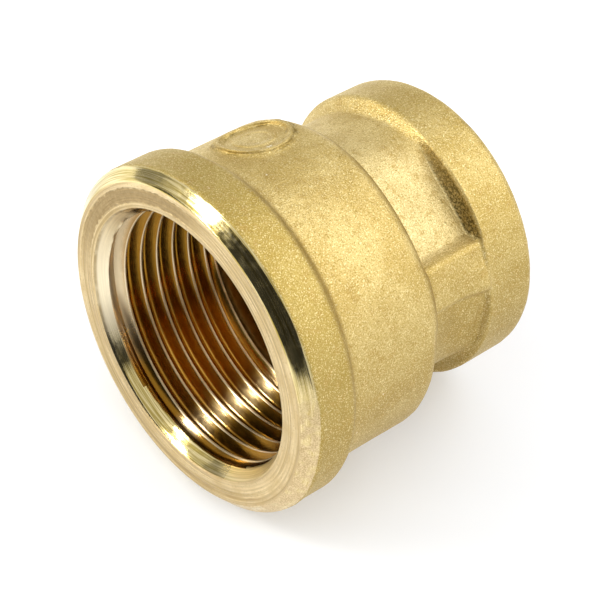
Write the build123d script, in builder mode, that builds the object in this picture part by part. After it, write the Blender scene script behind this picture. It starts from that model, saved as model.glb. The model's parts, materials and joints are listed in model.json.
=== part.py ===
"""Brass reducing coupling, 1 inch to 3/4 inch, with parallel pipe threads at both ends.

One hot-forged brass body, machined at both ends and tapped from both ends.
Units are millimetres. The bore lies along +Y and +Z is up.
The origin is the centre of the large end face, and the small end is at +Y.
"""

import os
from math import cos, radians, sin, tan

from build123d import *

# Overall sizes
LENGTH = 37.0

# Large collar, which is turned to a chamfer at its front edge
FACE_RADIUS = 19.4
LARGE_COLLAR_RADIUS = 20.8
OUTER_CHAMFER_DEPTH = 1.3
LARGE_COLLAR_END = 6.9
LARGE_COLLAR_ROUND = 0.9

# Plain barrel behind the collar
BARREL_RADIUS = 19.1
BARREL_END = 21.0
BARREL_ROUND = 2.0
BARREL_FILLET = 0.7

# Neck with six wrench flats, then the small collar
NECK_RADIUS = 15.8
NECK_END = 29.4
SMALL_COLLAR_START = 30.6
SMALL_COLLAR_RADIUS = 17.4
SMALL_COLLAR_ROUND = 0.5
SMALL_END_ROUND = 1.2
WRENCH_SIZE = 30.0
FLAT_COUNT = 6
FLAT_ANGLE = 30.0

# Raised lands where the halves of the forging die met, between two flats on each side
LAND_ANGLE = 60.0
LAND_RADIUS = 17.0
LAND_WIDTH = 6.5
LAND_CORE_RADIUS = 14.2
LAND_START = 20.0
LAND_END = 30.4

# Pipe threads (ISO 228): 55 degree flanks, rounded roots
THREAD_FLANK_ANGLE = 27.5
ROOT_RADIUS_RATIO = 0.137329
SHARP_HEIGHT_RATIO = 0.960491
LARGE_PITCH = 2.309
LARGE_MINOR_RADIUS = 30.291 / 2
LARGE_THREAD_END = 16.4
SMALL_PITCH = 1.814
SMALL_MINOR_RADIUS = 24.117 / 2
SMALL_THREAD_START = 23.6

# Bore between the threads
LARGE_MOUTH_RADIUS = 16.35
LARGE_MOUTH_DEPTH = 2.0
LARGE_RELIEF_RADIUS = 15.5
LARGE_RELIEF_END = 19.2
WEB_RADIUS = 11.2
WEB_START = 20.6
WEB_END = 22.0
SMALL_RELIEF_RADIUS = 12.5
SMALL_MOUTH_RADIUS = 13.4
SMALL_MOUTH_DEPTH = 1.5


def thread_groove(pitch, minor_radius):
    """Return the closed outline of one thread groove, centred on y = 0 in the XY plane."""
    flank = radians(THREAD_FLANK_ANGLE)
    sharp_height = SHARP_HEIGHT_RATIO * pitch
    root_radius = ROOT_RADIUS_RATIO * pitch
    apex = minor_radius + sharp_height * 5 / 6
    half_mouth = (apex - minor_radius) * tan(flank)
    root_centre = apex - root_radius / sin(flank)
    flank_end = root_centre + root_radius * sin(flank)
    half_root = root_radius * cos(flank)
    overlap = 0.5
    with BuildSketch() as groove:
        with BuildLine():
            Polyline(
                (flank_end, -half_root),
                (minor_radius, -half_mouth),
                (minor_radius - overlap, -half_mouth),
                (minor_radius - overlap, half_mouth),
                (minor_radius, half_mouth),
                (flank_end, half_root),
            )
            ThreePointArc(
                (flank_end, half_root),
                (root_centre + root_radius, 0),
                (flank_end, -half_root),
            )
        make_face()
    return groove.sketch


def groove_positions(start, end, pitch):
    """Return the places along Y of the grooves that fit between two ends of a thread."""
    count = int((end - start) / pitch)
    return [(0, start + (index + 0.5) * pitch) for index in range(count)]


def rim(edges, radius, place):
    """Return the circular edges of one radius at one place along the bore."""
    return edges.filter_by(
        lambda edge: abs(edge.radius - radius) < 0.01 and abs(edge.arc_center.Y - place) < 0.01
    )


# One half of the body's section, turned about the Y axis
with BuildSketch() as section:
    with BuildLine():
        Polyline(
            (LARGE_MOUTH_RADIUS, 0),
            (FACE_RADIUS, 0),
            (LARGE_COLLAR_RADIUS, OUTER_CHAMFER_DEPTH),
            (LARGE_COLLAR_RADIUS, LARGE_COLLAR_END),
            (BARREL_RADIUS, LARGE_COLLAR_END),
            (BARREL_RADIUS, BARREL_END),
            (NECK_RADIUS, BARREL_END),
            (NECK_RADIUS, NECK_END),
            (SMALL_COLLAR_RADIUS, SMALL_COLLAR_START),
            (SMALL_COLLAR_RADIUS, LENGTH),
            (SMALL_MOUTH_RADIUS, LENGTH),
            (SMALL_MINOR_RADIUS, LENGTH - SMALL_MOUTH_DEPTH),
            (SMALL_MINOR_RADIUS, SMALL_THREAD_START),
            (SMALL_RELIEF_RADIUS, SMALL_THREAD_START),
            (SMALL_RELIEF_RADIUS, WEB_END),
            (WEB_RADIUS, WEB_END),
            (WEB_RADIUS, WEB_START),
            (LARGE_RELIEF_RADIUS, LARGE_RELIEF_END),
            (LARGE_RELIEF_RADIUS, LARGE_THREAD_END),
            (LARGE_MINOR_RADIUS, LARGE_THREAD_END),
            (LARGE_MINOR_RADIUS, LARGE_MOUTH_DEPTH),
            close=True,
        )
    make_face()

with BuildSketch() as large_grooves:
    with Locations(*groove_positions(LARGE_MOUTH_DEPTH, LARGE_THREAD_END, LARGE_PITCH)):
        add(thread_groove(LARGE_PITCH, LARGE_MINOR_RADIUS))

with BuildSketch() as small_grooves:
    with Locations(*groove_positions(SMALL_THREAD_START, LENGTH - SMALL_MOUTH_DEPTH, SMALL_PITCH)):
        add(thread_groove(SMALL_PITCH, SMALL_MINOR_RADIUS))

with BuildPart() as coupling_body:
    revolve(section.sketch, axis=Axis.Y)

    # Six wrench flats across the neck
    with BuildSketch(Plane.XZ.offset(-BARREL_END)):
        Circle(SMALL_COLLAR_RADIUS + 1)
        RegularPolygon(
            WRENCH_SIZE / 2,
            FLAT_COUNT,
            major_radius=False,
            rotation=FLAT_ANGLE,
            mode=Mode.SUBTRACT,
        )
    extrude(amount=-(NECK_END - BARREL_END), mode=Mode.SUBTRACT)

    # Forged edges are rounded, and machined ones stay sharp
    rims = coupling_body.edges().filter_by(GeomType.CIRCLE)
    fillet(rim(rims, LARGE_COLLAR_RADIUS, LARGE_COLLAR_END), LARGE_COLLAR_ROUND)
    fillet(rim(rims, BARREL_RADIUS, LARGE_COLLAR_END), BARREL_FILLET)
    fillet(rim(rims, BARREL_RADIUS, BARREL_END), BARREL_ROUND)
    fillet(rim(rims, SMALL_COLLAR_RADIUS, SMALL_COLLAR_START), SMALL_COLLAR_ROUND)
    fillet(rim(rims, SMALL_COLLAR_RADIUS, LENGTH), SMALL_END_ROUND)

    # Parting lands between the barrel and the small collar
    with BuildSketch(Plane.XZ.offset(-LAND_START)):
        Rectangle(2 * LAND_RADIUS + 1, LAND_WIDTH, rotation=90 - LAND_ANGLE)
        Circle(LAND_RADIUS, mode=Mode.INTERSECT)
        Circle(LAND_CORE_RADIUS, mode=Mode.SUBTRACT)
    extrude(amount=-(LAND_END - LAND_START))

    revolve(large_grooves.sketch, axis=Axis.Y, mode=Mode.SUBTRACT)
    revolve(small_grooves.sketch, axis=Axis.Y, mode=Mode.SUBTRACT)

coupling_body.part.label = "coupling_body"

os.makedirs("parts", exist_ok=True)
export_step(coupling_body.part, "parts/coupling_body.step")
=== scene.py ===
"""Looks of the brass reducing coupling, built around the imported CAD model.

The bore lies along +Y with the large end at y = 0, and +Z is up. Everything is in metres, and MM turns
millimetres into them. Angles about the bore are measured from +Z towards +X.
"""

import json
from math import cos, exp, hypot, pi, radians, sin, tan

import bmesh
import bpy
from mathutils import Matrix, Vector, noise


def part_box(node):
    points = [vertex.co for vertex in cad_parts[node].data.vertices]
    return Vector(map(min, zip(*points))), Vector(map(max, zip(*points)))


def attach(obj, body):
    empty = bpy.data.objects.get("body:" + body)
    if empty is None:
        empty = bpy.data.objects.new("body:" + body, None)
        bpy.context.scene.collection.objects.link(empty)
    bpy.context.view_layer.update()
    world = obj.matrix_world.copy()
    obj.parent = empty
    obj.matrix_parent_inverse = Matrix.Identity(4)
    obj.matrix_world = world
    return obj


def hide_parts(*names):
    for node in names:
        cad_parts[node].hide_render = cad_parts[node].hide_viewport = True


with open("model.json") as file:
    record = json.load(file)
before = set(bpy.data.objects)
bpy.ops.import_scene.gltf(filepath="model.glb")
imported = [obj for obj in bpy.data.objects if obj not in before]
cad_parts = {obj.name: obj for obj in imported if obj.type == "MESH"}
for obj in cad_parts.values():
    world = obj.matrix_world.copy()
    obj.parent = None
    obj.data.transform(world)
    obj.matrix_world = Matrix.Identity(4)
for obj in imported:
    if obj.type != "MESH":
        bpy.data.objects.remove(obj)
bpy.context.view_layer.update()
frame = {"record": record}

MM = 0.001
BODY = "coupling_body"

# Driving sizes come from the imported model
HIGH = Vector(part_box(BODY)[1])
LENGTH = HIGH.y
LARGE_COLLAR_RADIUS = HIGH.x
MOUNTS = {mount["name"]: mount for mount in frame["record"]["mounts"]}
LARGE_CREST_RADIUS = MOUNTS["large_thread"]["dims"]["r_mm"] * MM
SMALL_CREST_RADIUS = MOUNTS["small_thread"]["dims"]["r_mm"] * MM

# Outside, as in part.py, apart from the neck, which is 0.3 mm smaller here
FACE_RADIUS = LARGE_COLLAR_RADIUS - 1.4 * MM
OUTER_CHAMFER_DEPTH = 1.3 * MM
LARGE_COLLAR_END = 6.9 * MM
BARREL_RADIUS = 19.1 * MM
BARREL_END = 21.0 * MM
NECK_RADIUS = 15.5 * MM
NECK_END = 29.4 * MM
SMALL_COLLAR_START = 30.6 * MM
SMALL_COLLAR_RADIUS = 17.4 * MM
SMALL_END_ROUND = 1.2 * MM
WRENCH_SIZE = 30.0 * MM
FLAT_PITCH = radians(60)
FIRST_FLAT = radians(30)

# Inside, as in part.py
LARGE_MOUTH_RADIUS = 16.35 * MM
LARGE_MOUTH_DEPTH = 2.0 * MM
LARGE_THREAD_END = 16.4 * MM
LARGE_RELIEF_RADIUS = 15.5 * MM
LARGE_RELIEF_END = 19.2 * MM
WEB_RADIUS = 11.2 * MM
WEB_START = 20.6 * MM
WEB_END = 22.0 * MM
SMALL_RELIEF_RADIUS = 12.5 * MM
SMALL_THREAD_START = 23.6 * MM
SMALL_MOUTH_RADIUS = 13.4 * MM
SMALL_MOUTH_DEPTH = 1.5 * MM
LARGE_PITCH = 2.309 * MM
SMALL_PITCH = 1.814 * MM

# Thread form (ISO 228), as shares of the pitch. The crests are cut sharper than the standard's rounding
DEPTH_RATIO = 0.640327
ROOT_RADIUS_RATIO = 0.137329
TIP_RATIO = 0.07
FLANK_TURN = 62.5

# Forging details that only the looks need
PARTING_ANGLE = radians(60)
PARTING_LAND_RADIUS = 17.1 * MM
PARTING_LAND_HALF = radians(11)
MARK_ANGLE = radians(-27.5)
MARK_PLACE = 14.7 * MM
MARK_RADIUS = 4.1 * MM
MARK_LINE = 0.7 * MM
MARK_HEIGHT = 0.4 * MM
SOFT_FLAT_ANGLE = radians(-30)
NEAR_STEP_ANGLE = radians(-20)
FAR_STEP_ANGLE = radians(-68)
NEAR_SWEEP_ANGLE = radians(-15)
FAR_SWEEP_ANGLE = radians(88)
SWEEP_START = 26.2 * MM
SWEEP_END = 30.2 * MM
SWEEP_HEIGHT = 1.1 * MM
LARGE_THREAD_PHASE = 0.86
OFF_CENTRE = 0.35 * MM
OFF_CENTRE_ANGLE = radians(-42)

COLUMNS = 280
EDGE = 0.07 * MM

# Numbers of the rows that close a thread's column at its two ends
FIRST_ROW = -99
LAST_ROW = 999

FORGED, FACE, TURNED, BORE, WEB = range(5)


def smooth(low, high, value):
    """Return 0 below low and 1 above high, with a smooth rise between."""
    share = min(max((value - low) / (high - low), 0.0), 1.0)
    return share * share * (3 - 2 * share)


def ramp(low, high, value, corner):
    """Return a straight rise from 0 at low to 1 at high, with its two corners rounded."""

    def part(away):
        return 0 if away < -corner else (away + corner) ** 2 / (4 * corner) if away < corner else away

    return (part(value - low) - part(value - high)) / (high - low)


def angle_from(centre, angle):
    """Return the signed angle from centre to angle, between -pi and pi."""
    return (angle - centre + pi) % (2 * pi) - pi


def at(radius, angle, place):
    """Return the point at a radius and an angle about the bore, at a place along it."""
    return Vector((radius * sin(angle), place, radius * cos(angle)))


def rough(point, size, seed):
    """Return smooth noise between about -1 and 1, with features of the given size."""
    return noise.noise(point / size + Vector((seed, 1.7 * seed, -seed)))


# The outside: rows of (place, radius, waist), where waist is how far a row follows the neck


def line(start, end, count):
    """Return count points after start, up to end."""
    steps = [step / count for step in range(1, count + 1)]
    return [(start[0] + (end[0] - start[0]) * step, start[1] + (end[1] - start[1]) * step) for step in steps]


def arc(centre, radius, first, last, count):
    """Return count points of an arc after its first. Angles are in degrees, from outward to the small end."""
    angles = [radians(first + (last - first) * step / count) for step in range(1, count + 1)]
    return [(centre[0] + radius * sin(angle), centre[1] + radius * cos(angle)) for angle in angles]


def softness(angle):
    """Return 1 at the flat that the forging left soft, 0.4 beyond the parting line, and 0 elsewhere."""
    here = 1 - smooth(radians(24), radians(54), abs(angle_from(SOFT_FLAT_ANGLE, angle)))
    beyond = 1 - smooth(radians(20), radians(40), abs(angle_from(SOFT_FLAT_ANGLE + 2 * FLAT_PITCH, angle)))
    return here + 0.4 * beyond


def neck_radius(angle):
    """Return the neck's radius: six flats with rounded corners, and a raised land at each parting line."""
    from_flat = (angle - FIRST_FLAT + FLAT_PITCH / 2) % FLAT_PITCH - FLAT_PITCH / 2
    flat = WRENCH_SIZE / 2 / cos(from_flat)
    blend = (0.25 + 0.3 * softness(angle)) * MM
    gap = min(abs(flat - NECK_RADIUS) / blend, 30)
    corner = min(flat, NECK_RADIUS) - blend * 0.7 * exp(-gap) + 0.35 * MM * softness(angle)
    offsets = (angle_from(PARTING_ANGLE, angle), angle_from(PARTING_ANGLE + pi, angle))
    edge = (PARTING_LAND_HALF - radians(3), PARTING_LAND_HALF + radians(2.5))
    land = 1 - smooth(*edge, min(map(abs, offsets)))
    return corner + (PARTING_LAND_RADIUS - corner) * land


def sweep(place, angle):
    """Return how much the two soft flats curve up before they meet the small collar."""
    near = 1 - smooth(radians(18), radians(38), abs(angle_from(NEAR_SWEEP_ANGLE, angle)))
    far = 1 - smooth(radians(12), radians(32), abs(angle_from(FAR_SWEEP_ANGLE, angle)))
    return SWEEP_HEIGHT * (0.6 * near + far) * smooth(SWEEP_START, SWEEP_END, place)


def collar_step(place, angle):
    """Return how far the surface still follows the neck where it rises to the small collar."""
    far = 1 - smooth(radians(12), radians(46), abs(angle_from(FAR_STEP_ANGLE, angle)))
    near = 1 - smooth(radians(16), radians(30), abs(angle_from(NEAR_STEP_ANGLE, angle)))
    soft = max(far, 0.8 * near)
    low = NECK_END + (0.45 - 0.5 * soft) * MM
    high = SMALL_COLLAR_START + (0.7 * soft - 0.4) * MM
    return 1 - ramp(low, high, place, (0.16 + 0.26 * soft) * MM)


def skin(angle):
    """Return how far the forged skin stands out where the front chamfer cuts it."""
    point = at(LARGE_COLLAR_RADIUS, angle, 0)
    wander = 0.1 * MM * rough(point, 8 * MM, 2.3) + 0.06 * MM * rough(point, 1.1 * MM, 9.4)
    return 0.16 * MM * cos(angle - PARTING_ANGLE) + wander


def collar_rows():
    """Return the large collar and the step down to the barrel."""
    rim = 1.1 * MM
    root = 1.1 * MM
    start = (OUTER_CHAMFER_DEPTH + EDGE, LARGE_COLLAR_RADIUS)
    rows = line(start, (LARGE_COLLAR_END - rim, LARGE_COLLAR_RADIUS), 16)
    rows += arc((LARGE_COLLAR_END - rim, LARGE_COLLAR_RADIUS - rim), rim, 0, 75, 6)
    foot = (rows[-1][0] + 0.25 * MM + root, BARREL_RADIUS + root)
    turns = [radians(degrees) for degrees in (-75, -60, -45, -30, -15, 0)]
    return rows + [(foot[0] + root * sin(turn), foot[1] - root * cos(turn)) for turn in turns]


def outside_rows():
    """Return the rows from the face's inner edge to the small end's mouth, each with its waist and zone."""
    face = [(0, LARGE_MOUTH_RADIUS + EDGE)] + line((0, LARGE_MOUTH_RADIUS + EDGE), (0, FACE_RADIUS - EDGE), 7)
    chamfer = [(EDGE, FACE_RADIUS + EDGE)]
    chamfer += line(chamfer[0], (OUTER_CHAMFER_DEPTH - EDGE, LARGE_COLLAR_RADIUS - EDGE), 5)
    forged = collar_rows()
    forged += line(forged[-1], (BARREL_END - 2 * MM, BARREL_RADIUS), 42)
    rows = [(place, radius, 0.0, FACE) for place, radius in face]
    rows += [(place, radius, 0.0, TURNED) for place, radius in chamfer]
    rows += [(place, radius, 0.0, FORGED) for place, radius in forged]

    # The shoulder is a share of the way from the barrel down to the neck
    shoulder = [(sin(radians(a)), 1 - cos(radians(a))) for a in (15, 30, 45, 60, 75, 88)]
    waist = [(BARREL_END - 2 * MM + 2 * MM * along, down * 0.55) for along, down in shoulder]
    foot = ((0.03, 0.75), (0.1, 0.86), (0.28, 0.94), (0.6, 0.985))
    waist += [(BARREL_END + along * MM, down) for along, down in foot]
    rows += [(place, BARREL_RADIUS, down, FORGED) for place, down in waist]

    # From the neck to the small collar, collar_step decides how far each point follows the neck
    end = (LENGTH - SMALL_END_ROUND, SMALL_COLLAR_RADIUS)
    small = line((BARREL_END + MM, 0), (NECK_END - 2 * MM, 0), 10)
    small += line(small[-1], (SMALL_COLLAR_START + MM, 0), 26)
    small += line(small[-1], (end[0], 0), 9)
    rows += [(place, SMALL_COLLAR_RADIUS, 1.0, FORGED) for place, _ in small]
    last = arc((end[0], end[1] - SMALL_END_ROUND), SMALL_END_ROUND, 0, 80, 7)
    rows += [(place, radius, 0.0, FORGED) for place, radius in last]
    ring = line((LENGTH, last[-1][1] - EDGE), (LENGTH, SMALL_MOUTH_RADIUS + EDGE), 6)
    return rows + [(place, radius, 0.0, FACE) for place, radius in ring]


def forging(place, radius, waist, angle):
    """Return a point of the forged surface, with its uneven skin, parting line and blank ring mark."""
    if place > BARREL_END + MM:
        waist *= collar_step(place, angle)
    radius += (neck_radius(angle) + sweep(place, angle) - radius) * waist
    point = at(radius, angle, place)
    uneven = 0.07 * MM * rough(point, 9 * MM, 3.1) + 0.03 * MM * rough(point, 2.2 * MM, 7.7)
    uneven += 0.015 * MM * rough(point, 0.8 * MM, 1.3)
    for line_angle in (PARTING_ANGLE, PARTING_ANGLE + pi):
        across = abs(angle_from(line_angle, angle)) * radius
        uneven += 0.05 * MM * exp(-((across / (0.35 * MM)) ** 2))
    if waist == 0 and place < BARREL_END:
        across = angle_from(MARK_ANGLE, angle) * radius
        off = hypot(across, place - MARK_PLACE) - MARK_RADIUS
        uneven += MARK_HEIGHT * (1 - smooth(MARK_LINE * 0.4, MARK_LINE, abs(off)))
        uneven -= 0.12 * MM * (1 - smooth(-MARK_LINE, MARK_LINE, off))

    # The front edge follows the chamfer, which cuts deeper where the skin stands out
    front = 1 - smooth(OUTER_CHAMFER_DEPTH, 3 * MM, place)
    proud = skin(angle) * front
    place += proud * OUTER_CHAMFER_DEPTH / (LARGE_COLLAR_RADIUS - FACE_RADIUS)
    off_centre = OFF_CENTRE * smooth(BARREL_END - 2 * MM, BARREL_END + 3 * MM, place)
    off_centre *= 1 - smooth(LENGTH - SMALL_END_ROUND, LENGTH, place) * 0.5
    return at(radius + uneven * (1 - front) + proud, angle, place) + at(off_centre, OFF_CENTRE_ANGLE, 0)


def chamfered(place, radius, angle):
    """Return a point of the front chamfer, stretched along its cone as far as the forged skin."""
    stretch = 1 + skin(angle) / (LARGE_COLLAR_RADIUS - FACE_RADIUS)
    return at(FACE_RADIUS + (radius - FACE_RADIUS) * stretch, angle, place * stretch)


# The threads: each column has its own rows, which follow the helix, and neighbours are zipped together


def thread_features(pitch):
    """Return (share of the pitch, depth) for each row of one groove, from crest to crest."""
    depth = DEPTH_RATIO * pitch
    tip = TIP_RATIO * pitch
    hollow = 2 * ROOT_RADIUS_RATIO * pitch - tip
    crest = [(tip * sin(radians(a)), tip * (1 - cos(radians(a)))) for a in (0, 22, 44, FLANK_TURN)]
    root = [(hollow * sin(radians(a)), hollow * (1 - cos(radians(a)))) for a in (FLANK_TURN, 32, 0)]
    half = crest + [(pitch / 2 - place, depth - deep) for place, deep in root]
    whole = half + [(pitch - place, deep) for place, deep in reversed(half[1:-1])]
    return [(place / pitch, deep) for place, deep in whole]


class Shell:
    """Collect the rings, columns and faces of the one closed body."""

    def __init__(self):
        self.points = []
        self.faces = []
        self.zones = []
        self.turned = set()

    def add(self, point):
        """Add a point and return its number."""
        self.points.append(point)
        return len(self.points) - 1

    def face(self, corners, zone):
        """Add a face over the numbered points. It is turned if the mouth's chamfer has cut all of them."""
        self.faces.append(corners)
        self.zones.append(TURNED if self.turned.issuperset(corners) else zone)

    def ring(self, make):
        """Add one ring of points, where make gives the point at an angle, and return their numbers."""
        return [self.add(make(2 * pi * column / COLUMNS)) for column in range(COLUMNS)]

    def bridge(self, first, second, zone):
        """Join two rings with quads."""
        for column in range(COLUMNS):
            after = (column + 1) % COLUMNS
            self.face((first[column], first[after], second[after], second[column]), zone)

    def thread(self, first, second, pitch, phase, crest, ends, mouth):
        """Join two rings with a right-hand internal thread.

        phase is the share of the pitch at which a crest stands at angle 0, and ends are where the rings are.
        mouth(place, angle) is the radius that the chamfer has cut there, and how deep the thread is.
        """
        features = thread_features(pitch)
        low, high = ends
        columns = []
        for column in range(COLUMNS):
            angle = 2 * pi * column / COLUMNS
            turn = column / COLUMNS + phase
            rows = []
            for number in range(int(low / pitch) - 3, int(high / pitch) + 2):
                for index, (share, deep) in enumerate(features):
                    place = pitch * (number + share + turn)
                    if low + 0.02 * MM < place < high - 0.02 * MM:
                        cone, depth = mouth(place, angle)
                        corner = self.add(at(max(crest + deep * depth, cone), angle, place))
                        rows.append(((number, index), corner))
                        if cone > crest + deep * depth:
                            self.turned.add(corner)
            columns.append([((FIRST_ROW, 0), first[column])] + rows + [((LAST_ROW, 0), second[column])])
        for column, rows in enumerate(columns):
            self.zip(rows, columns[(column + 1) % COLUMNS], column == COLUMNS - 1, BORE)

    def zip(self, rows, others, brown_edge_band, zone):
        """Join two neighbouring columns, matching the rows that follow the same line of the thread."""
        if brown_edge_band:
            others = [
                ((number - 1 if FIRST_ROW < number < LAST_ROW else number, index), corner)
                for (number, index), corner in others
            ]
        here = {key for key, _ in rows}
        there = {key for key, _ in others}
        i = j = 0
        while i < len(rows) - 1 or j < len(others) - 1:
            next_here = rows[i + 1][0] if i < len(rows) - 1 else None
            next_there = others[j + 1][0] if j < len(others) - 1 else None
            if next_here == next_there:
                self.face((rows[i][1], others[j][1], others[j + 1][1], rows[i + 1][1]), zone)
                i += 1
                j += 1
            elif next_here is not None and next_here not in there:
                self.face((rows[i][1], others[j][1], rows[i + 1][1]), zone)
                i += 1
            else:
                self.face((rows[i][1], others[j][1], others[j + 1][1]), zone)
                j += 1


def large_cut(place, angle):
    """Return the large mouth chamfer's radius at a place, and how deep the thread still is there."""
    cone = LARGE_MOUTH_RADIUS - (LARGE_MOUTH_RADIUS - LARGE_CREST_RADIUS) * place / LARGE_MOUTH_DEPTH
    burr = 0.12 * MM * rough(at(LARGE_CREST_RADIUS, angle, place), 0.8 * MM, 5.5)
    burr *= smooth(LARGE_MOUTH_DEPTH * 0.7, LARGE_MOUTH_DEPTH * 0.9, place)
    depth = smooth(0, 1.3 * MM, LARGE_THREAD_END - place) * smooth(1.3 * MM, 3.2 * MM, place)
    return cone + burr, depth


def small_cut(place, angle):
    """Return the small mouth chamfer's radius at a place, and how deep the thread still is there."""
    back = LENGTH - place
    cone = SMALL_MOUTH_RADIUS - (SMALL_MOUTH_RADIUS - SMALL_CREST_RADIUS) * back / SMALL_MOUTH_DEPTH
    return cone, smooth(0, 1.1 * MM, place - SMALL_THREAD_START) * smooth(0.4 * MM, 1.9 * MM, back)


def build_body():
    """Return the coupling as one closed mesh object."""
    shell = Shell()
    large_mouth = shell.ring(lambda angle: at(LARGE_MOUTH_RADIUS, angle, EDGE))
    last = large_mouth
    for place, radius, waist, zone in outside_rows():
        if zone == FORGED:
            ring = shell.ring(lambda angle: forging(place, radius, waist, angle))
        elif zone == TURNED:
            ring = shell.ring(lambda angle: chamfered(place, radius, angle))
        else:
            ring = shell.ring(lambda angle: at(radius, angle, place))
        shell.bridge(last, ring, zone)
        last = ring
    small_mouth = shell.ring(lambda angle: at(SMALL_MOUTH_RADIUS, angle, LENGTH - EDGE))
    shell.bridge(last, small_mouth, FACE)
    shell.turned.update(large_mouth + small_mouth)

    inside = [(LARGE_THREAD_END, LARGE_CREST_RADIUS), (LARGE_THREAD_END + 0.3 * MM, LARGE_RELIEF_RADIUS)]
    inside += line(inside[-1], (LARGE_RELIEF_END, LARGE_RELIEF_RADIUS), 5)
    inside += line(inside[-1], (WEB_START, WEB_RADIUS), 8)
    inside += line(inside[-1], (WEB_END, WEB_RADIUS), 2)
    inside += [(WEB_END, WEB_RADIUS + EDGE), (WEB_END, SMALL_RELIEF_RADIUS)]
    inside += line(inside[-1], (SMALL_THREAD_START - 0.1 * MM, SMALL_RELIEF_RADIUS), 3)
    inside += [(SMALL_THREAD_START, SMALL_CREST_RADIUS)]
    rings = [shell.ring(lambda angle: at(radius, angle, place)) for place, radius in inside]
    for first, second in zip(rings, rings[1:]):
        shell.bridge(first, second, WEB)
    large_ends = (EDGE, LARGE_THREAD_END)
    small_ends = (SMALL_THREAD_START, LENGTH - EDGE)
    phase = LARGE_THREAD_PHASE
    shell.thread(large_mouth, rings[0], LARGE_PITCH, phase, LARGE_CREST_RADIUS, large_ends, large_cut)
    shell.thread(rings[-1], small_mouth, SMALL_PITCH, 0, SMALL_CREST_RADIUS, small_ends, small_cut)

    mesh = bpy.data.meshes.new("brass_coupling")
    mesh.from_pydata(shell.points, [], shell.faces)
    mesh.polygons.foreach_set("material_index", shell.zones)
    mesh.polygons.foreach_set("use_smooth", [True] * len(shell.faces))
    mesh.validate()
    body = bpy.data.objects.new("brass_coupling", mesh)
    bpy.context.scene.collection.objects.link(body)
    work = bmesh.new()
    work.from_mesh(mesh)
    bmesh.ops.recalc_face_normals(work, faces=work.faces)
    work.to_mesh(mesh)
    work.free()
    return body


# How much a lathe mark varies round the bore, as a share of how much it varies across it
DRAWN_OUT = 0.02


class Nodes:
    """Short calls for building one brass material's node tree."""

    def __init__(self, name):
        self.material = bpy.data.materials.new(name)
        self.material.use_nodes = True
        self.tree = self.material.node_tree
        self.shader = self.tree.nodes["Principled BSDF"]
        self.shader.inputs["Metallic"].default_value = 1
        self.place = self.tree.nodes.new("ShaderNodeTexCoord").outputs["Object"]
        split = self.add("ShaderNodeSeparateXYZ", self.place)
        self.x, self.y, self.z = split.outputs

    def add(self, kind, *values, **settings):
        """Add a node, with values or links for its first inputs."""
        node = self.tree.nodes.new(kind)
        for key, value in settings.items():
            setattr(node, key, value)
        for socket, value in zip(node.inputs, values):
            self.put(socket, value)
        return node

    def put(self, socket, value):
        """Link a socket to another, or set its value."""
        if isinstance(value, bpy.types.NodeSocket):
            self.tree.links.new(value, socket)
        else:
            socket.default_value = value

    def maths(self, operation, *values):
        """Return the result of one sum."""
        return self.add("ShaderNodeMath", *values, operation=operation).outputs[0]

    def times(self, first, second):
        """Return the product of two values."""
        return self.maths("MULTIPLY", first, second)

    def noise(self, size, detail=2):
        """Return noise between 0 and 1, with features of about the given size."""
        node = self.add("ShaderNodeTexNoise")
        self.put(node.inputs["Vector"], self.place)
        node.inputs["Scale"].default_value = 1 / size
        node.inputs["Detail"].default_value = detail
        return node.outputs["Fac"]

    def radius(self):
        """Return the distance from the bore's axis."""
        return self.length(self.x, self.z)

    def length(self, first, second):
        """Return the length of the vector with two components."""
        return self.maths("SQRT", self.maths("ADD", self.times(first, first), self.times(second, second)))

    def turn(self):
        """Return the angle about the bore, in radians from +Z towards +X."""
        return self.maths("ARCTAN2", self.x, self.z)

    def tool_marks(self, size):
        """Return noise drawn out around the bore, as a lathe leaves it."""
        along = self.times(self.x, DRAWN_OUT)
        drawn = self.add("ShaderNodeCombineXYZ", self.radius(), self.y, along).outputs[0]
        node = self.add("ShaderNodeTexNoise", noise_dimensions="4D")
        self.put(node.inputs["Vector"], drawn)
        self.put(node.inputs["W"], self.times(self.z, DRAWN_OUT))
        node.inputs["Scale"].default_value = 1 / size
        node.inputs["Detail"].default_value = 3
        return node.outputs["Fac"]

    def between(self, value, low, high, first=0.0, last=1.0):
        """Return a value that goes from first to last while the input goes from low to high."""
        node = self.add("ShaderNodeMapRange", value, low, high, first, last, interpolation_type="SMOOTHSTEP")
        return node.outputs["Result"]

    def band(self, value, rise, fall, top=1.0):
        """Return a value that rises over the span rise to top, and comes back to 0 over the span fall."""
        return self.times(self.between(value, *rise), self.between(value, *fall, top, 0.0))

    def near(self, value, centre, inside, outside):
        """Return 1 within inside of the centre, and 0 from outside on."""
        away = self.maths("ABSOLUTE", self.maths("SUBTRACT", value, centre))
        return self.between(away, inside, outside, 1.0, 0.0)

    def mix(self, share, first, second):
        """Return a mix of two colours."""
        node = self.add("ShaderNodeMix", data_type="RGBA")
        self.put(node.inputs["Factor"], share)
        ends = [socket for socket in node.inputs if socket.type == "RGBA"]
        for socket, colour in zip(ends, (first, second)):
            self.put(socket, colour if isinstance(colour, bpy.types.NodeSocket) else (*colour, 1))
        return [socket for socket in node.outputs if socket.type == "RGBA"][0]

    def bump(self, height, distance, normal=None):
        """Return a normal raised by height times distance."""
        node = self.add("ShaderNodeBump")
        self.put(node.inputs["Height"], height)
        node.inputs["Strength"].default_value = 1
        node.inputs["Distance"].default_value = distance
        if normal:
            self.put(node.inputs["Normal"], normal)
        return node.outputs["Normal"]

    def finish(self, colour, roughness, normal):
        """Feed the shader and return the material."""
        self.put(self.shader.inputs["Base Color"], colour)
        self.put(self.shader.inputs["Roughness"], roughness)
        self.put(self.shader.inputs["Normal"], normal)
        return self.material


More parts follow.
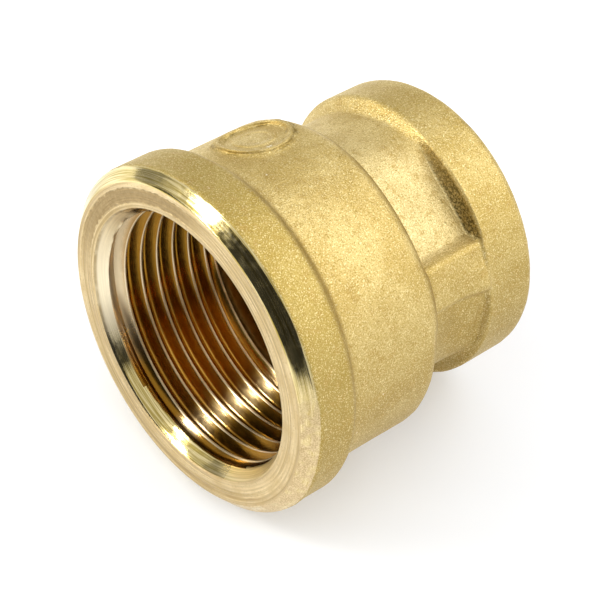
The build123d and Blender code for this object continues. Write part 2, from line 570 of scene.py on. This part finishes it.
def ring_mark_distance(nodes, turn):
    """Return the distance along the barrel's skin from the centre of the ring mark."""
    across = nodes.times(nodes.maths("SUBTRACT", turn, MARK_ANGLE), BARREL_RADIUS)
    return nodes.length(across, nodes.maths("SUBTRACT", nodes.y, MARK_PLACE))


def forged_brass():
    """Return shot-blasted forged brass: bright grain over soft mottling, with painted shade in the recesses
    and on the lower right side, and a painted highlight on the upper neck flats.
    """
    nodes = Nodes("forged_brass")
    turn = nodes.turn()
    mottle = nodes.between(nodes.noise(5 * MM, 3), 0.35, 0.65)
    stain = nodes.between(nodes.noise(1.1 * MM, 5), 0.5, 0.72, 0.0, 0.7)
    grain = nodes.noise(0.15 * MM, 4)
    dark = nodes.between(grain, 0.28, 0.5, 0.85, 0.0)
    bright = nodes.between(grain, 0.53, 0.69, 0.0, 0.62)
    pits = nodes.between(nodes.noise(0.6 * MM, 2), 0.74, 0.79, 0.0, 0.7)
    nicks = nodes.between(nodes.noise(1.1 * MM, 2), 0.76, 0.79, 0.0, 0.8)

    # Painted shade where the first flat steps up to the small collar, and a little of it round the rest
    step = nodes.band(nodes.y, (29.62 * MM, 29.85 * MM), (30.1 * MM, 30.24 * MM))
    there = nodes.times(nodes.between(turn, 0.0, 0.6, 0.2, 1.0), nodes.between(turn, 0.82, 0.88, 1.0, 0.0))
    there = nodes.times(there, nodes.between(turn, 0.0, 0.12))
    step = nodes.times(step, nodes.maths("MULTIPLY_ADD", there, 0.8, 0.03))
    step_shade = nodes.times(step, nodes.between(nodes.noise(0.3 * MM, 3), 0.4, 0.62, 1.0, 0.35))

    # Painted brown shade along both feet of the ring mark's ridge, broken into patches
    away = ring_mark_distance(nodes, turn)
    from_ridge = nodes.maths("ABSOLUTE", nodes.maths("SUBTRACT", away, MARK_RADIUS))
    patches = nodes.between(nodes.noise(1.4 * MM, 3), 0.45, 0.65, 0.0, 0.65)
    foot = nodes.times(nodes.near(from_ridge, 0.5 * MM, 0.08 * MM, 0.3 * MM), patches)

    # Painted shade in the two corners of the barrel
    shoulder = nodes.band(nodes.y, (19.5 * MM, 20.6 * MM), (21.2 * MM, 22.4 * MM))
    root = nodes.band(nodes.y, (5.7 * MM, 6.7 * MM), (7.3 * MM, 8.5 * MM), 0.7)
    cloudy = nodes.between(nodes.noise(2.4 * MM, 4), 0.3, 0.7, 0.5, 0.9)
    corner = nodes.times(nodes.maths("MAXIMUM", shoulder, root), cloudy)

    # Broad tones: deeper collars, a paler neck that is a painted highlight on its upper flats, and a darker
    # lower right side that is painted shade
    collar = nodes.between(nodes.y, 5.5 * MM, 8 * MM, 0.6, 0.0)
    small = nodes.between(nodes.y, 30.2 * MM, 31 * MM, 0.0, 0.22)
    neck = nodes.between(nodes.radius(), 15.9 * MM, 16.9 * MM, 0.25, 0.0)
    neck = nodes.times(neck, nodes.between(turn, 0.9, 1.05, 1.0, 0.0))
    neck = nodes.times(neck, nodes.between(turn, -0.5, 0.3, 0.2, 1.0))
    below = nodes.band(turn, (0.6, 1.6), (2.6, 3.1), 0.6)

    colour = nodes.mix(mottle, (0.59, 0.43, 0.145), (0.72, 0.555, 0.225))
    layers = (
        (nodes.maths("MAXIMUM", collar, small), (0.42, 0.3, 0.06)),
        (neck, (1.0, 0.88, 0.55)),
        (below, (0.35, 0.235, 0.06)),
        (stain, (0.5, 0.34, 0.1)),
        (dark, (0.4, 0.28, 0.06)),
        (bright, (1.0, 0.88, 0.5)),
        (pits, (0.3, 0.2, 0.07)),
        (corner, (0.34, 0.225, 0.05)),
        (nicks, (1.0, 0.93, 0.72)),
        (foot, (0.26, 0.17, 0.035)),
        (step_shade, (0.06, 0.055, 0.02)),
    )
    for share, tone in layers:
        colour = nodes.mix(share, colour, tone)
    ridge = nodes.between(from_ridge, 0.12 * MM, 0.55 * MM, 1.0, 0.0)
    inner_ring = nodes.near(away, MARK_RADIUS * 0.5, 0.1 * MM, 0.6 * MM)
    normal = nodes.bump(nodes.noise(0.6 * MM, 3), 0.07 * MM)
    normal = nodes.bump(grain, 0.055 * MM, normal)
    normal = nodes.bump(nodes.maths("MULTIPLY_ADD", inner_ring, 0.45, ridge), 0.4 * MM, normal)
    return nodes.finish(colour, nodes.between(grain, 0.3, 0.7, 0.58, 0.42), normal)


def turned_brass():
    """Return brass cut to a bright chamfer, with fine lathe marks around it and three duller stretches, one
    of them with a painted pale reflection.
    """
    nodes = Nodes("turned_brass")
    marks = nodes.tool_marks(0.11 * MM)
    turn = nodes.turn()
    mouth = nodes.between(nodes.radius(), 17 * MM, 18 * MM, 1.0, 0.0)

    # A rougher stretch of the mouth's cone with a painted pale reflection and a darker brown band at the
    # face's edge, a matte stretch of the cone, and a shallow, speckled one of the outer chamfer
    pale_sheen_stretch = nodes.times(nodes.band(turn, (-2.5, -2.1), (-1.0, -0.6)), mouth)
    matte = nodes.times(nodes.band(turn, (1.4, 1.9), (2.3, 2.9)), mouth)
    brown_edge_band = nodes.times(nodes.between(nodes.y, 0.15 * MM, 0.5 * MM, 0.8, 0.0), pale_sheen_stretch)
    brown_edge_band = nodes.times(brown_edge_band, nodes.between(nodes.noise(2 * MM, 3), 0.3, 0.6, 0.55, 1.0))
    shallow = nodes.times(nodes.band(turn, (0.95, 1.3), (2.5, 3.0)), nodes.maths("SUBTRACT", 1.0, mouth))
    shallow = nodes.times(shallow, nodes.between(nodes.noise(1.2 * MM, 4), 0.35, 0.55, 0.55, 1.0))
    speckle = nodes.noise(0.15 * MM, 4)
    speckled = nodes.mix(nodes.between(speckle, 0.35, 0.65), (0.5, 0.36, 0.17), (0.74, 0.585, 0.335))

    colour = nodes.mix(nodes.between(marks, 0.35, 0.65), (0.46, 0.345, 0.08), (0.9, 0.75, 0.39))
    layers = (
        (nodes.times(pale_sheen_stretch, 0.8), (0.97, 0.85, 0.62)),
        (brown_edge_band, (0.3, 0.2, 0.07)),
        (nodes.times(matte, 0.6), (0.72, 0.56, 0.3)),
        (shallow, speckled),
    )
    for share, tone in layers:
        colour = nodes.mix(share, colour, tone)
    normal = nodes.bump(marks, 0.005 * MM)
    normal = nodes.bump(nodes.times(speckle, shallow), 0.025 * MM, normal)
    roughness = nodes.between(nodes.noise(0.9 * MM, 3), 0.35, 0.65, 0.1, 0.18)
    for share, least in ((shallow, 0.48), (pale_sheen_stretch, 0.34), (matte, 0.42)):
        roughness = nodes.maths("MAXIMUM", roughness, nodes.times(share, least))
    return nodes.finish(colour, roughness, normal)


def faced_brass():
    """Return the ring-shaped end face: faced on a lathe, but still as forged in one crescent."""
    nodes = Nodes("faced_brass")
    turn = nodes.turn()

    # The crescent is on the large end's face only
    ragged = nodes.times(nodes.maths("SUBTRACT", nodes.noise(0.8 * MM, 4), 0.5), 0.9 * MM)
    place = nodes.maths("ADD", nodes.radius(), ragged)
    crescent = nodes.band(place, (16.95 * MM, 17.15 * MM), (18.6 * MM, 18.75 * MM))
    crescent = nodes.times(crescent, nodes.band(turn, (-1.95, -1.2), (-0.25, 0.15)))
    crescent = nodes.times(crescent, nodes.between(nodes.y, 5 * MM, 6 * MM, 1.0, 0.0))
    scale = nodes.mix(nodes.noise(0.6 * MM, 4), (0.28, 0.19, 0.075), (0.56, 0.42, 0.21))

    marks = nodes.tool_marks(0.22 * MM)
    arcs = nodes.between(nodes.tool_marks(0.5 * MM), 0.57, 0.63, 0.0, 0.6)
    arcs = nodes.times(arcs, nodes.between(nodes.noise(4 * MM, 2), 0.42, 0.6))
    rings = nodes.between(nodes.tool_marks(0.45 * MM), 0.42, 0.58)
    specks = nodes.between(nodes.noise(0.28 * MM, 4), 0.55, 0.68, 0.0, 0.5)
    cloud = nodes.between(nodes.noise(2.5 * MM, 4), 0.4, 0.65, 0.0, 0.45)
    colour = nodes.mix(nodes.between(marks, 0.35, 0.65), (0.42, 0.295, 0.12), (0.76, 0.6, 0.325))
    layers = (
        (arcs, (0.42, 0.27, 0.1)),
        (nodes.times(rings, 0.3), (0.9, 0.73, 0.44)),
        (specks, (0.4, 0.27, 0.11)),
        (cloud, (0.56, 0.4, 0.17)),
        (crescent, scale),
    )
    for share, tone in layers:
        colour = nodes.mix(share, colour, tone)
    pitting = nodes.times(nodes.maths("SUBTRACT", nodes.noise(0.25 * MM, 3), 1.6), crescent)
    normal = nodes.bump(rings, 0.05 * MM)
    normal = nodes.bump(marks, 0.022 * MM, normal)
    normal = nodes.bump(nodes.noise(0.35 * MM, 4), 0.04 * MM, normal)
    normal = nodes.bump(pitting, 0.05 * MM, normal)
    roughness = nodes.maths("ADD", nodes.between(marks, 0.3, 0.7, 0.36, 0.48), nodes.times(crescent, 0.2))
    return nodes.finish(colour, roughness, normal)


def threaded_brass():
    """Return cut thread brass: warm flanks whose gloss spreads across the cut, and pale crests painted as
    highlights.
    """
    nodes = Nodes("threaded_brass")
    marks = nodes.tool_marks(0.1 * MM)
    turn = nodes.turn()
    in_large = nodes.between(nodes.y, 20 * MM, 21 * MM, 1.0, 0.0)
    crest_radius = nodes.between(nodes.y, 20 * MM, 21 * MM, LARGE_CREST_RADIUS, SMALL_CREST_RADIUS)
    height = nodes.maths("SUBTRACT", nodes.radius(), crest_radius)
    # Pale crest lines: a painted highlight along every crest
    crest = nodes.between(height, 0.06 * MM, 0.17 * MM, 1.0, 0.0)

    # Painted shade on the left and lower stretches and the first turns of the large thread, a painted pale
    # reflection at its start on the left, and a painted highlight streak along the bottom
    left_shade_stretch = nodes.times(nodes.band(turn, (-2.6, -2.0), (-0.9, -0.4)), in_large)
    bottom_shade_stretch = nodes.times(nodes.band(turn, (1.6, 2.3), (2.9, 3.08)), in_large)
    first_turns_shade = nodes.times(nodes.between(nodes.y, 4.2 * MM, 5.4 * MM, 1.0, 0.0), in_large)
    dark = nodes.maths("MAXIMUM", nodes.maths("MAXIMUM", left_shade_stretch, bottom_shade_stretch), first_turns_shade)
    start = nodes.times(nodes.between(nodes.y, 3.1 * MM, 3.8 * MM, 1.0, 0.0), left_shade_stretch)
    streak_highlight = nodes.between(nodes.maths("ABSOLUTE", turn), 2.98, 3.12, 0.0, 0.45)

    colour = nodes.mix(nodes.between(marks, 0.35, 0.65), (0.56, 0.28, 0.03), (0.78, 0.47, 0.09))
    layers = (
        (nodes.times(dark, 0.85), (0.25, 0.115, 0.01)),
        (nodes.times(streak_highlight, in_large), (0.95, 0.8, 0.5)),
        (nodes.times(crest, 0.72), (0.96, 0.82, 0.55)),
        (nodes.times(start, 0.75), (0.9, 0.76, 0.5)),
    )
    for share, tone in layers:
        colour = nodes.mix(share, colour, tone)
    gloss = nodes.between(nodes.noise(0.8 * MM, 3), 0.35, 0.65, 0.15, 0.19)
    roughness = nodes.maths("ADD", gloss, nodes.times(nodes.maths("MAXIMUM", crest, start), 0.16))
    nodes.shader.inputs["Anisotropic"].default_value = 0.95
    nodes.shader.inputs["Anisotropic Rotation"].default_value = 0.25
    tangent = nodes.add("ShaderNodeTangent", direction_type="RADIAL", axis="Y")
    nodes.put(nodes.shader.inputs["Tangent"], tangent.outputs[0])
    return nodes.finish(colour, roughness, nodes.bump(marks, 0.007 * MM))


def shaded_web_brass():
    """Return the dull brass between the two threads, which no tool has brightened, painted dark as the shade
    deep in the bore.
    """
    nodes = Nodes("shaded_web_brass")
    marks = nodes.tool_marks(0.2 * MM)
    mottle = nodes.between(nodes.noise(1.2 * MM, 4), 0.35, 0.65)
    colour = nodes.mix(mottle, (0.23, 0.13, 0.03), (0.3, 0.18, 0.05))
    normal = nodes.bump(marks, 0.02 * MM)
    roughness = nodes.between(marks, 0.3, 0.7, 0.38, 0.52)
    return nodes.finish(colour, roughness, normal)


body = build_body()
for material in (forged_brass(), faced_brass(), turned_brass(), threaded_brass(), shaded_web_brass()):
    body.data.materials.append(material)
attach(body, "root")
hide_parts(BODY)

# Floor: the coupling rests on its two collars
TILT = radians(7.15)
FLOOR_GAP = 0.1 * MM


def build_floor():
    """Return a wide pale floor under the two collars."""
    size = 3.0
    mesh = bpy.data.meshes.new("floor")
    corners = [(-size, -size, 0), (size, -size, 0), (size, size, 0), (-size, size, 0)]
    mesh.from_pydata(corners, [], [(0, 1, 2, 3)])
    floor = bpy.data.objects.new("floor", mesh)
    bpy.context.scene.collection.objects.link(floor)
    floor.rotation_euler = (TILT, 0, 0)
    floor.location = (0, LARGE_COLLAR_END - MM, -LARGE_COLLAR_RADIUS - FLOOR_GAP)
    material = bpy.data.materials.new("floor_white")
    material.use_nodes = True
    shader = material.node_tree.nodes["Principled BSDF"]
    shader.inputs["Base Color"].default_value = (0.87, 0.885, 0.91, 1)
    shader.inputs["Roughness"].default_value = 0.9
    shader.inputs["Emission Color"].default_value = (1, 1, 1, 1)
    shader.inputs["Emission Strength"].default_value = 0.11
    floor.data.materials.append(material)
    return floor


build_floor()

# Camera
CAMERA_PLACE = Vector((104.467, -102.302, 162.108)) * MM
CAMERA_AIM = Vector((0.738, 16.514, -1.547)) * MM
CAMERA_ROLL = radians(11.355)
SENSOR_WIDTH = 36
FOCAL_SHARE = 10 / 3


def add_camera():
    """Add the camera, whose focal length is an assumed share of the picture's width."""
    data = bpy.data.cameras.new("camera")
    data.sensor_width = SENSOR_WIDTH
    data.lens = SENSOR_WIDTH * FOCAL_SHARE
    data.clip_start = 0.005
    camera = bpy.data.objects.new("camera", data)
    bpy.context.scene.collection.objects.link(camera)
    look = (CAMERA_AIM - CAMERA_PLACE).to_track_quat("-Z", "Y").to_matrix()
    turned = look @ Matrix.Rotation(CAMERA_ROLL, 3, "Z")
    camera.matrix_world = Matrix.Translation(CAMERA_PLACE) @ turned.to_4x4()
    bpy.context.scene.camera = camera


add_camera()


# Studio. Directions are azimuth and elevation from the part: azimuth 0 faces the large end, and 90 is +X
REACH = 0.6


def towards(azimuth, elevation):
    """Return the point at REACH from the part in one direction."""
    a, e = radians(azimuth), radians(elevation)
    return Vector((0, LENGTH / 2, 0)) + REACH * Vector((sin(a) * cos(e), -cos(a) * cos(e), sin(e)))


def aim(thing, azimuth, elevation):
    """Put a light or a card at REACH in one direction, facing the part."""
    bpy.context.scene.collection.objects.link(thing)
    thing.location = towards(azimuth, elevation)
    thing.rotation_euler = (Vector((0, LENGTH / 2, 0)) - thing.location).to_track_quat("-Z", "Y").to_euler()


def softbox(name, azimuth, elevation, wide, high, radiance):
    """Add a soft light that covers so many degrees and shines with one radiance."""
    data = bpy.data.lights.new(name, "AREA")
    data.shape = "RECTANGLE"
    data.size = 2 * REACH * tan(radians(wide / 2))
    data.size_y = 2 * REACH * tan(radians(high / 2))
    data.energy = radiance * pi * data.size * data.size_y
    aim(bpy.data.objects.new(name, data), azimuth, elevation)


def card(name, azimuth, elevation, wide, high, grey):
    """Add a grey studio card, which only reflections see."""
    x, y = REACH * tan(radians(wide / 2)), REACH * tan(radians(high / 2))
    mesh = bpy.data.meshes.new(name)
    mesh.from_pydata([(-x, -y, 0), (x, -y, 0), (x, y, 0), (-x, y, 0)], [], [(0, 1, 2, 3)])
    material = bpy.data.materials.new(name)
    material.use_nodes = True
    shader = material.node_tree.nodes["Principled BSDF"]
    shader.inputs["Base Color"].default_value = (grey, grey, grey, 1)
    shader.inputs["Roughness"].default_value = 1
    shader.inputs["Specular IOR Level"].default_value = 0
    mesh.materials.append(material)
    thing = bpy.data.objects.new(name, mesh)
    thing.visible_camera = False
    thing.visible_shadow = False
    thing.visible_diffuse = False
    aim(thing, azimuth, elevation)


softbox("back_softbox", 144, 48, 80, 60, 1.4)
softbox("left_strip", -38, 33, 16, 14, 20)
softbox("upper_strip", -46, 50, 4, 12, 16)
softbox("middle_strip", -31, 17, 2.5, 14, 30)
softbox("low_strip", -26, 2, 3, 8, 32)
card("black_card", 15, 18, 70, 44, 0.03)
card("grey_card", -68, 8, 18, 24, 0.25)
card("left_card", -45, 1, 22, 18, 0.06)
card("rear_card", 178, 6, 60, 40, 0.08)
world = bpy.data.worlds.new("world")
bpy.context.scene.world = world
world.use_nodes = True
world.node_tree.nodes["Background"].inputs["Color"].default_value = (0.74, 0.74, 0.74, 1)
bpy.context.scene.view_settings.view_transform = "Standard"
